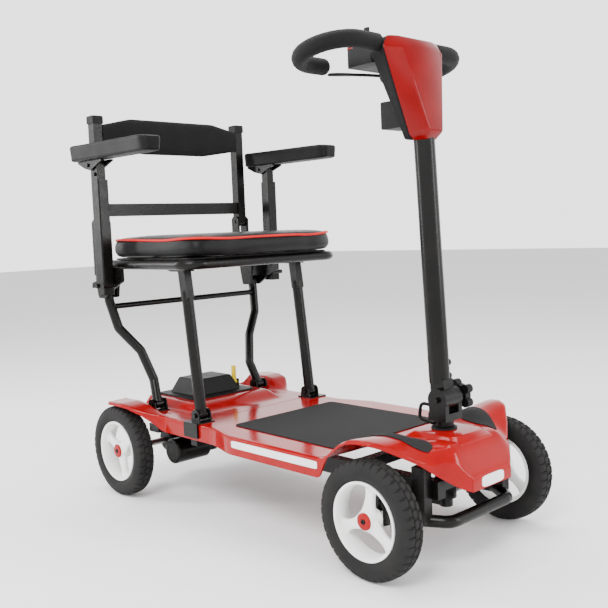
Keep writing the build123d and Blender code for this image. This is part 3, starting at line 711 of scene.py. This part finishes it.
def loop_points(side, start, end):
    """Middle line of a hand loop, from the head round to its open end."""
    tilt, radius, base = LOOP_TILT, LOOP_RADIUS, LOOP_CENTRE
    points = [(start, 0), ((start + base) / 2, 0), (base, 0)]
    points += [(base + radius * sin(radians(a)), radius * (1 - cos(radians(a))))
               for a in range(12, 181, 12)]
    points += [((base + end) / 2, 2 * radius), (end + 5, 2 * radius), (end, 2 * radius)]
    return [at(side * x, LOOP_START[0] + back * cos(tilt), LOOP_START[1] - back * sin(tilt))
            for x, back in points]


def round_tube(points, radius, nose):
    """A thick tube along points whose far end is rounded off."""
    loops = []
    stations = [(p, radius) for p in points]
    tip = points[-1]
    heading = (points[-1] - points[-2]).normalized()
    for k in range(1, 7):
        angle = pi / 2 * k / 6.3
        stations.append((tip + heading * nose * sin(angle), radius * cos(angle)))
    start_heading = (points[1] - points[0]).normalized()
    stations = [(points[0] - start_heading * 0.0015, radius * 0.93)] + stations
    for i, (point, size) in enumerate(stations):
        ahead = stations[min(i + 1, len(stations) - 1)][0]
        behind = stations[max(i - 1, 0)][0]
        direction = (ahead - behind).normalized()
        across = direction.cross(Vector((0, 0, 1))).normalized()
        up = across.cross(direction).normalized()
        loops.append([point + (across * cos(2 * pi * n / 28) + up * sin(2 * pi * n / 28)) * size
                      for n in range(28)])
    return tube_mesh(loops)


grips = [round_tube(loop_points(side, 74, 87), 0.0148, 0.0125) for _, side in SIDES]
vertices, faces = join(grips)
finish_piece("hand_grip_foam", vertices, faces, FOAM, "tiller", ("hand_grips",))

# Throttle paddles: slim arms that end in flat rounded leaves.
paddles = []
for _, side in SIDES:
    loops = []
    for i in range(21):
        t = i / 20
        x, d = side * 104 * t, 100 + 40 * t ** 1.6
        leaf = ease(0.62, 0.86, t) * (1 - ease(0.93, 1.0, t) * 0.75)
        wide, thick = 5 + 5.5 * leaf, 2.6
        loops.append([at(x, d + a, 840 + b) for a, b in superellipse(wide, thick, 2.4, 16)])
    paddles.append(tube_mesh(loops))
hub = [[at(r * cos(2 * pi * n / 32), 100 + r * sin(2 * pi * n / 32), z) for n in range(32)]
       for r, z in ((11, 834.2), (12, 835.5), (12, 844.5), (11, 845.8))]
vertices, faces = join(paddles + [tube_mesh(hub)])
finish_piece("throttle_paddles", vertices, faces, PLASTIC, "throttle",
             ("throttle_lever",))

# Stage, lights and camera ---------------------------------------------------------
floor_mesh = bpy.data.meshes.new("floor")
floor_mesh.from_pydata([(-14, -14, 0), (14, -14, 0), (14, 14, 0), (-14, 14, 0)], [], [(0, 1, 2, 3)])
floor = bpy.data.objects.new("floor", floor_mesh)
floor.location.z = -0.0005
bpy.context.scene.collection.objects.link(floor)
floor_mesh.materials.append(material("pale_floor", (0.93, 0.93, 0.93), (0.95, 0.95, 0.95), (0.8, 0.9)))

world = bpy.data.worlds.new("studio")
bpy.context.scene.world = world
world.use_nodes = True
sky = world.node_tree
direction = sky.nodes.new("ShaderNodeTexCoord")
split = sky.nodes.new("ShaderNodeSeparateXYZ")
sky.links.new(direction.outputs["Generated"], split.inputs["Vector"])
shade = ramp(sky, split.outputs["Z"], [(0.3, 1.0), (0.62, 0.34)])
sky.links.new(shade.outputs["Color"], sky.nodes["Background"].inputs["Color"])
sky.nodes["Background"].inputs["Strength"].default_value = 2.6


def area_light(name, place, target, size, power):
    light = bpy.data.lights.new(name, "AREA")
    light.shape = "RECTANGLE"
    light.size, light.size_y = size
    light.energy = power
    holder = bpy.data.objects.new(name, light)
    bpy.context.scene.collection.objects.link(holder)
    holder.location = place
    holder.rotation_euler = (Vector(target) - Vector(place)).to_track_quat("-Z", "Y").to_euler()


area_light("key_softbox", (-2.2, -1.2, 2.6), (0, 0, 0.4), (1.3, 1.3), 110)
area_light("top_softbox", (0.3, 0.4, 3.0), (0, 0, 0.3), (2.4, 1.2), 80)
area_light("side_strip", (-1.6, 1.9, 1.3), (0, 0, 0.4), (0.3, 1.8), 40)
area_light("front_strip", (1.2, -2.4, 1.2), (0, -0.2, 0.4), (0.3, 1.8), 34)

CAMERA_PLACE = at(-1174, -903.6, 573.8)
YAW, PITCH, ROLL = radians(43.37), radians(-5.07), radians(-2.29)
SENSOR_WIDTH = 36.0
FOCAL_LENGTH = 49.8
view = Vector((cos(PITCH) * sin(YAW), cos(PITCH) * cos(YAW), sin(PITCH)))
level = Vector((cos(YAW), -sin(YAW), 0))
upward = level.cross(view)
right = level * cos(ROLL) + upward * sin(ROLL)
top = upward * cos(ROLL) - level * sin(ROLL)
lens = bpy.data.cameras.new("camera")
lens.sensor_width = SENSOR_WIDTH
lens.lens = FOCAL_LENGTH
camera = bpy.data.objects.new("camera", lens)
bpy.context.scene.collection.objects.link(camera)
turn = Matrix((right, top, -view)).transposed().to_4x4()
camera.matrix_world = Matrix.Translation(CAMERA_PLACE) @ turn
bpy.context.scene.camera = camera
